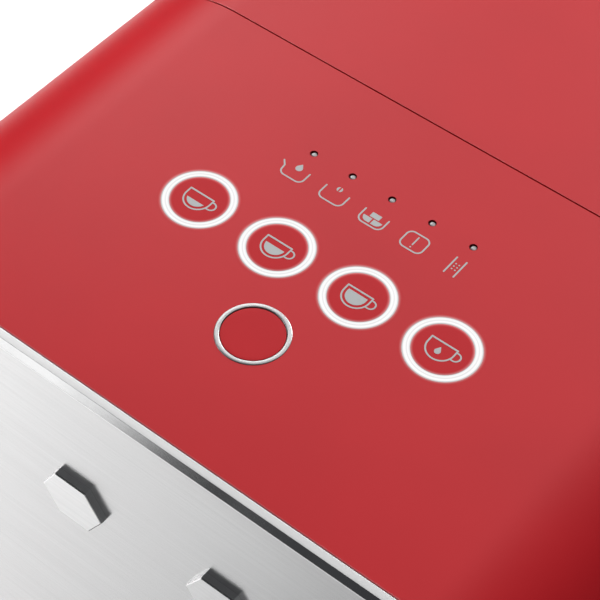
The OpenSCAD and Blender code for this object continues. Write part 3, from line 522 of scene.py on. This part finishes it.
def lathe(name, profile, centre, body, mat, steps=96, closed=True):
    """Turns a profile of (radius, z) points about an upright axis through centre."""
    verts, faces = [], []
    n = len(profile)
    for s in range(steps):
        a = 2 * math.pi * s / steps
        verts += [(r * math.cos(a), r * math.sin(a), z) for r, z in profile]
    spans = n if closed else n - 1
    for s in range(steps):
        t = (s + 1) % steps
        for k in range(spans):
            m = (k + 1) % n
            faces.append((s * n + k, t * n + k, t * n + m, s * n + m))
    mesh = bpy.data.meshes.new(name)
    mesh.from_pydata([Vector(v) * MM for v in verts], [], faces)
    obj = bpy.data.objects.new(name, mesh)
    bpy.context.scene.collection.objects.link(obj)
    obj.location = Vector(centre) * MM
    set_material(obj, mat)
    fix_normals(obj)
    smooth(obj)
    weighted(obj)
    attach(obj, body)
    return obj


CAP_DEPTH = 3.0


def disc(name, radius, z, edge, centre, body, mat):
    """Round cap with a rounded rim and a flat top."""
    profile = [(radius, -CAP_DEPTH), (radius, -edge)]
    for i in range(1, 7):
        a = i * math.pi / 12
        profile.append((radius - edge * (1 - math.cos(a)), -edge + edge * math.sin(a)))
    rings = 8
    for i in range(1, rings + 1):
        r = (radius - edge) * (1 - i / rings)
        profile.append((max(r, 0.001), 0.0))
    return lathe(name, profile, (centre[0], centre[1], z), body, mat, closed=False)


def painted_ring_glow(mat, inner, outer, strength):
    """Copy of a material with light painted on near its rim: an emitting glow standing for the
    light of the ring round it.
    """
    mat = mat.copy()
    mat.name = "button_red_painted_glow"
    tree = mat.node_tree
    bsdf = next(n for n in tree.nodes if n.type == "BSDF_PRINCIPLED")
    near = spread(tree, radius_from_axis(tree), 0.0, 1.0, inner * MM, outer * MM)
    power = tree.nodes.new("ShaderNodeMath")
    power.operation = "POWER"
    power.inputs[1].default_value = 2.2
    tree.links.new(near, power.inputs[0])
    amount = tree.nodes.new("ShaderNodeMath")
    amount.operation = "MULTIPLY"
    amount.inputs[1].default_value = strength
    tree.links.new(power.outputs["Value"], amount.inputs[0])
    bsdf.inputs["Emission Color"].default_value = (1, 0.93, 0.94, 1)
    tree.links.new(amount.outputs["Value"], bsdf.inputs["Emission Strength"])
    return mat


# The drink keys' red glows faintly near its rim: painted light from the ring round each key.
PAINTED_GLOW_RED = painted_ring_glow(MATS["button_red"], 5.3, 6.0, 0.3)
RING_MAT = ring_material()
PAINTED_HALO = painted_halo_material("painted_halo_outside", 7.45, 8.2, 0.38)
for i, x in enumerate(BUTTON_X):
    ring = lathe(
        f"light_ring_{i + 1}",
        [
            (5.985, -3.0), (5.985, -0.05), (6.0, 0.0), (6.1, 0.03), (6.68, 0.03), (6.72, 0.0),
            (6.78, 0.0), (6.82, 0.03), (7.4, 0.03), (7.5, 0.0), (7.56, -0.06), (7.56, -3.0),
        ],
        (x, BUTTON_Y, TOP), "chassis", RING_MAT,
    )
    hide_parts("light_rings")
    # A glowing film round each ring paints the ring's light onto the deck.
    lathe(
        f"painted_light_halo_{i + 1}", [(7.45, 0.045), (7.8, 0.045), (8.1, 0.045), (8.4, 0.045)],
        (x, BUTTON_Y, TOP), "chassis", PAINTED_HALO, closed=False,
    )
    cap = disc(
        f"drink_button_{i + 1}", 5.96, TOP, 0.1, (x, BUTTON_Y), f"button_{i + 1}",
        PAINTED_GLOW_RED,
    )
    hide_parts(f"cup_button_{i + 1}")

power_cap = disc(
    "power_key_cap", 6.19, TOP - 0.04, 0.12, (0, POWER_Y), "power_key",
    MATS["button_red"],
)
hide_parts("power_button")
bezel = lathe(
    "power_bezel",
    [
        (6.25, -3.0), (6.25, -0.12), (6.27, -0.04), (6.31, 0.03), (6.37, 0.08), (6.44, 0.1),
        (7.12, 0.1), (7.18, 0.08), (7.24, 0.03), (7.28, -0.02), (7.21, -0.1), (7.21, -3.0),
    ],
    (0, POWER_Y, TOP), "chassis", MATS["bezel"],
)
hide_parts("power_ring")

LAMP_SHIFT = 0.1
for i, x in enumerate(LAMP_X):
    # Each lamp hole is lined in the dark red, painted shade round the lens.
    lathe(
        f"lamp_well_{i + 1}",
        [(0.86, 0.0), (0.82, -0.06), (0.79, -0.16), (0.76, -0.3), (0.6, -0.34), (0.58, -1.2)],
        (x + LAMP_SHIFT, LAMP_Y, TOP), "chassis", MATS["painted_shade_well"], 40, closed=False,
    )
    lens = lathe(
        f"lamp_lens_{i + 1}",
        [(0.58, -1.1), (0.58, -0.27), (0.55, -0.23), (0.46, -0.2), (0.25, -0.18), (0.001, -0.175)],
        (x + LAMP_SHIFT, LAMP_Y, TOP), "chassis", MATS["lens"], 40, closed=False,
    )
    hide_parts("status_lenses")


# ---------------------------------------------------------------- printed marks

PRINT_Z = TOP + 0.012


def arc(cx, cy, r, start, end, steps=24):
    return [
        (cx + r * math.cos(math.radians(start + (end - start) * i / steps)),
         cy + r * math.sin(math.radians(start + (end - start) * i / steps)))
        for i in range(steps + 1)
    ]


def ribbon(points, width, closed=False):
    """Outline of a stroke of even width along points, with round ends."""
    pts = [Vector(points[0])]
    for p in points[1:]:
        if (Vector(p) - pts[-1]).length > 0.02:
            pts.append(Vector(p))
    if closed and (pts[0] - pts[-1]).length < 0.02:
        pts.pop()
    n, h = len(pts), width / 2
    left, right = [], []
    for i in range(n):
        before = pts[i - 1] if closed or i else None
        after = pts[(i + 1) % n] if closed or i < n - 1 else None
        d0 = (pts[i] - before if before is not None else after - pts[i]).normalized()
        d1 = (after - pts[i]).normalized() if after is not None else d0
        side = (Vector((-d0.y, d0.x)) + Vector((-d1.y, d1.x))).normalized()
        reach = h / max(0.5, side.dot(Vector((-d1.y, d1.x))))
        left.append(pts[i] + side * reach)
        right.append(pts[i] - side * reach)
    verts = left + right
    faces = [(i, (i + 1) % n, n + (i + 1) % n, n + i) for i in range(n if closed else n - 1)]
    if not closed:
        for end, inner in ((0, 1), (n - 1, n - 2)):
            away = (pts[end] - pts[inner]).normalized()
            first = Vector((-away.y, away.x)) * h
            k = len(verts)
            ends = (end, n + end) if end else (n + end, end)
            cap = []
            for t in range(1, 6):
                a = math.pi * t / 6
                verts.append(pts[end] + first * math.cos(a) + away * h * math.sin(a))
                cap.append(k + t - 1)
            faces.append((ends[0], *cap, ends[1]))
    return verts, faces


def fill(points):
    return [Vector(p) for p in points], [tuple(range(len(points)))]


def relief(name, shapes, top, foot, body):
    """Flat shapes raised in low relief. top and foot place a shape's point at its two ends."""
    verts, faces = [], []
    for level, (points, flats) in enumerate(shapes):
        first, n = len(verts), len(points)
        verts += [top(p, level) for p in points] + [foot(p) for p in points]
        uses = Counter(frozenset(pair) for f in flats for pair in zip(f, f[1:] + f[:1]))
        for f in flats:
            faces.append(tuple(first + i for i in f))
            faces.append(tuple(first + n + i for i in reversed(f)))
            for a, b in zip(f, f[1:] + f[:1]):
                if uses[frozenset((a, b))] == 1:
                    faces.append((first + a, first + n + a, first + n + b, first + b))
    mesh = bpy.data.meshes.new(name)
    mesh.from_pydata([Vector(v) * MM for v in verts], [], faces)
    obj = bpy.data.objects.new(name, mesh)
    bpy.context.scene.collection.objects.link(obj)
    set_material(obj, MATS["print"])
    fix_normals(obj)
    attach(obj, body)


def printed(name, shapes, centre, body):
    """Thin mark printed on the deck. Each shape stands a little higher than the one before."""
    x, y = centre
    relief(
        name, shapes,
        lambda p, level: (x + p.x, y + p.y, PRINT_Z + 0.003 * level),
        lambda p: (x + p.x, y + p.y, TOP - 0.02),
        body,
    )


def cup_outline(dx=0.05, rim=1.38):
    """Cup seen from the side: straight rim, half-round bowl, loop handle on the right."""
    r = 2.89
    bowl = [(dx - r, rim)] + arc(dx, -0.05, r, 180, 360, 40) + [(dx + r, rim)]
    handle = (
        [(dx + r, 0.93)] + arc(dx + r + 0.42, -0.08, 1.01, 90, -90, 24)
        + [(dx + math.sqrt(r * r - 1.06), -1.09)]
    )
    return [
        ribbon(bowl, 0.34), ribbon([(dx - r, rim), (dx + r, rim)], 0.37), ribbon(handle, 0.32),
    ]


def level_shape(top, dx=0.03, r=2.2):
    """What fills the cup's bowl up to a level."""
    cy = -0.05
    if top <= cy:
        a = math.degrees(math.asin((cy - top) / r))
        return fill(arc(dx, cy, r, 180 + a, 360 - a, 32))
    return fill([(dx - r, top)] + arc(dx, cy, r, 180, 360, 36) + [(dx + r, top)])


def drop(cx, cy, r, tip):
    """Drop with its point up: cy is the round part's centre."""
    tilt = math.degrees(math.acos(r / (tip - cy)))
    return fill([(cx, tip)] + arc(cx, cy, r, 90 + tilt, 450 - tilt, 28))


CUP_SHIFT = -0.41
cup_fills = [
    level_shape(-0.78), level_shape(-0.1), level_shape(0.6), drop(-0.05, -1.0, 0.64, 0.22),
]
for i, x in enumerate(BUTTON_X):
    shapes = cup_outline(0.05 + CUP_SHIFT) + [
        ([v + Vector((CUP_SHIFT, 0)) for v in cup_fills[i][0]], cup_fills[i][1])
    ]
    printed(f"cup_mark_{i + 1}", shapes, (x, BUTTON_Y), f"button_{i + 1}")

MARK_Y = FRONT + 65.4
LINE = 0.33


def open_tray(half, top, low, r):
    return (
        [(-half, top)] + [(-half, low + r)] + arc(-half + r, low + r, r, 180, 270, 10)
        + arc(half - r, low + r, r, 270, 360, 10) + [(half, top)]
    )


jug = (
    [(-3.78, 1.07), (-2.85, 0.0)] + [(-2.75, -0.9)] + arc(-1.45, -0.9, 1.3, 190, 270, 10)
    + arc(1.4, -0.9, 1.3, 270, 360, 10) + [(2.7, 1.07)]
)
bean = (
    fill([(-0.14, 0.95)] + arc(0.0, 1.64, 0.64, 250, 110, 16) + [(-0.14, 2.33), (-0.2, 1.64)]),
    fill([(0.14, 0.95)] + arc(0.0, 1.64, 0.64, -70, 70, 16) + [(0.14, 2.33), (0.2, 1.64)]),
)
pucks = (
    fill([(-1.08, -0.15), (1.12, -0.15), (1.12, 1.12), (-1.08, 1.12)]),
    fill([(-0.16, -1.72), (-0.16, -0.42), (-2.2, -0.42)] + arc(-0.95, -0.47, 1.25, 180, 270, 10)),
    fill(
        [(0.2, -1.72), (1.0, -1.72)] + arc(1.0, -0.47, 1.25, 270, 360, 10)
        + [(2.25, -0.42), (0.2, -0.42)]
    ),
)
badge = (
    arc(-1.25, 0.85, 1.25, 180, 90, 10) + arc(1.3, 0.85, 1.25, 90, 0, 10)
    + arc(1.3, -1.05, 1.25, 0, -90, 10) + arc(-1.25, -1.05, 1.25, 270, 180, 10)
)
DOT_R = 0.17
dots = [
    fill(arc(dx, dy, DOT_R, 0, 360, 12)[:-1]) for dx in (-0.38, 0.36) for dy in (-0.97, -0.2, 0.56)
]
marks = [
    [ribbon(jug, LINE), drop(0.0, 1.02, 0.76, 2.32)],
    [ribbon(open_tray(2.8, 1.07, -2.3, 1.35), LINE), *bean],
    [ribbon(open_tray(2.8, 1.07, -2.3, 1.35), LINE), *pucks],
    [ribbon(badge, LINE, True), ribbon([(0.02, 1.35), (0.02, -0.85)], 0.3),
     fill(arc(0.02, -1.55, DOT_R, 0, 360, 14)[:-1])],
    [ribbon([(x, 2.05), (x, -2.5)], LINE) for x in (-1.15, 1.08)] + dots,
]
for i, shapes in enumerate(marks):
    printed(f"status_mark_{i + 1}", shapes, (LAMP_X[i] + 0.2, MARK_Y), "chassis")


# ---------------------------------------------------------------- screws and tank marks

FOOT_H = 4.0
SCREW_HEAD = [
    (3.0, 0.0), (3.0, 0.55), (2.88, 0.87), (2.6, 1.1), (2.2, 1.26), (1.75, 1.32), (1.7, 1.32),
]
SHANK_R = 1.5
SOCKET_R = 1.5
SOCKET_FLOOR = 0.4
REAR_FACE = 214.0


def six_sided(angle, r):
    """Radius at an angle of a hexagon whose corners lie at r."""
    part = angle % (math.pi / 3) - math.pi / 6
    return r * math.cos(math.pi / 6) / math.cos(part)


def screw(name, seat, side, away, shank, body):
    """Pan-head screw with a six-sided socket. seat is the middle of the face the head sits on."""
    seat, side, away = Vector(seat), Vector(side), Vector(away)
    across = away.cross(side)
    angles = [2 * math.pi * k / 48 for k in range(48)]

    def loop(radius, height):
        middle = seat + away * height
        return [
            middle + side * radius(a) * math.cos(a) + across * radius(a) * math.sin(a)
            for a in angles
        ]

    loops = [loop(lambda a: SHANK_R, -shank), loop(lambda a: SHANK_R, 0.0)]
    loops += [loop(lambda a, r=r: r, h) for r, h in SCREW_HEAD]
    for height in (SCREW_HEAD[-1][1], SOCKET_FLOOR):
        loops.append(loop(lambda a: six_sided(a, SOCKET_R), height))
    made = loft(name, loops, body, [MATS["screw"]])
    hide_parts("case_screws")


seats = [((x, y, FOOT_H), (0, 0, -1), 14) for x in (-74, 74) for y in (90, 160)]
seats += [((x, REAR_FACE, z), (0, 1, 0), 7) for x in (-80, 80) for z in (18, 92)]
for i, (seat, away, shank) in enumerate(seats):
    screw(f"case_screw_{i + 1}", seat, (1, 0, 0), away, shank, "chassis")


TANK_REAR = 213.5
MARK_RISE = 0.25
MARK_ROOT = 0.1
LEVEL_LOW, LEVEL_STEP, LEVELS = 140, 18, 9


def level_marks():
    """Bars in low relief on the back of the tank, long and short in turn, and a pointer."""
    shapes = []
    for step in range(LEVELS):
        z = LEVEL_LOW + LEVEL_STEP * step
        shapes.append(ribbon([(-62, z), (-54 if step % 2 else -48, z)], 0.9))
    shapes.append(fill([(-62, 290), (-56, 290), (-59, 286)]))
    relief(
        "tank_level_marks", shapes,
        lambda p, level: (p.x, TANK_REAR + MARK_RISE, p.y),
        lambda p: (p.x, TANK_REAR - MARK_ROOT, p.y),
        "tank",
    )


level_marks()


# ---------------------------------------------------------------- edges of the CAD pieces

EDGES = {
    "body_shell": 0.3, "hopper_lid": 0.32, "tank_lid": 0.25, "service_door": 0.25, "tray_nose": 0.6,
    "grounds_front": 0.3, "recess_panel": 0.15, "drip_tray": 0.5, "drip_grid": 0.2,
    "base_frame": 0.4, "water_tank": 0.5, "spout_body": 0.6, "spout_cover": 0.35,
    "spout_nozzles": 0.25, "tray_float": 0.4, "rubber_feet": 0.3, "head_underside": 0.3,
    "grounds_box": 0.4, "cord_gland": 0.3, "tank_seat": 0.3, "hopper_deck": 0.2,
    "bean_hopper": 0.25, "lid_seal": 0.3, "grind_dial": 0.4,
    "grinder_housing": 0.5, "inner_chassis": 0.3, "bay_wall": 0.3,
}
for node_name, width in EDGES.items():
    node = nodes[node_name]
    edge = bevel(node, width)
    smooth(node)
    split = node.modifiers.new("split", "EDGE_SPLIT")
    split.split_angle = math.radians(SPLIT_ANGLE)
    weighted(node, True)
    # The bevel faces of the red pieces get the paler red, a painted highlight line along each edge.
    if node_slot[node_name] == "shell_red":
        node.data.materials.append(MATS["painted_highlight_edge"])
        edge.material = 1


# ---------------------------------------------------------------- stage


def area_light(name, size, location, target, power, size_y=None):
    light = bpy.data.lights.new(name, "AREA")
    light.shape = "RECTANGLE"
    light.size = size
    light.size_y = size_y or size
    light.energy = power
    obj = bpy.data.objects.new(name, light)
    bpy.context.scene.collection.objects.link(obj)
    obj.location = location
    obj.rotation_euler = (Vector(target) - Vector(location)).to_track_quat("-Z", "Y").to_euler()


FLOOR_HALF = 4
floor_mesh = bpy.data.meshes.new("floor")
corners = [(-FLOOR_HALF, -FLOOR_HALF, 0), (FLOOR_HALF, -FLOOR_HALF, 0)]
corners += [(FLOOR_HALF, FLOOR_HALF, 0), (-FLOOR_HALF, FLOOR_HALF, 0)]
floor_mesh.from_pydata(corners, [], [(0, 1, 2, 3)])
floor = bpy.data.objects.new("floor", floor_mesh)
bpy.context.scene.collection.objects.link(floor)
floor_mat, _, floor_bsdf = new_material("floor")
floor_bsdf.inputs["Base Color"].default_value = (0.9, 0.9, 0.9, 1)
floor_bsdf.inputs["Roughness"].default_value = 0.8
floor_mesh.materials.append(floor_mat)

world = bpy.data.worlds.new("world")
bpy.context.scene.world = world
world.use_nodes = True
sky = world.node_tree.nodes["Background"]
sky.inputs["Color"].default_value = (0.9, 0.93, 1, 1)
sky.inputs["Strength"].default_value = 0.07


def softbox(name, azimuth, elevation, size, power, distance=1.5, size_y=None):
    """Soft light aimed at the machine's head. Azimuth runs from the front towards the left."""
    a, e = math.radians(azimuth), math.radians(elevation)
    away = Vector((-math.sin(a) * math.cos(e), -math.cos(a) * math.cos(e), math.sin(e)))
    aim = Vector((0, -0.08, 0.33))
    area_light(name, size, aim + away * distance, aim, power, size_y)


softbox("back", 180, 18, 0.6, 37.3)
softbox("back_left", 135, 38, 0.6, 6.95)
softbox("left", 120, 38, 0.6, 4.4)
softbox("back_high", 165, 58, 0.6, 4.07)
softbox("front_left", 37.5, 24, 0.62, 1.2, 1.5, 0.32)
area_light("wash", 0.25, (-0.5, -0.45, 0.4), (-0.4, -0.4, 0), 2.58)

bpy.context.scene.view_settings.view_transform = "Standard"

# The camera looks along its own -Z. Heading turns it about the upright axis, tilt lifts it from
# straight down, and roll turns it about its line of sight, in degrees.
HEADING, TILT, ROLL = 36.016, 39.178, 2.686
CAMERA_PLACE = (128.085, FRONT - 133.823, TOP + 263.704)
cam_data = bpy.data.cameras.new("camera")
cam = bpy.data.objects.new("camera", cam_data)
bpy.context.scene.collection.objects.link(cam)
cam.matrix_world = (
    Matrix.Translation(Vector(CAMERA_PLACE) * MM)
    @ Matrix.Rotation(math.radians(HEADING), 4, "Z")
    @ Matrix.Rotation(math.radians(TILT), 4, "X")
    @ Matrix.Rotation(math.radians(ROLL), 4, "Z")
)
cam_data.lens = 109.17
cam_data.sensor_width = 36.0
cam_data.clip_start = 0.01
bpy.context.scene.camera = cam
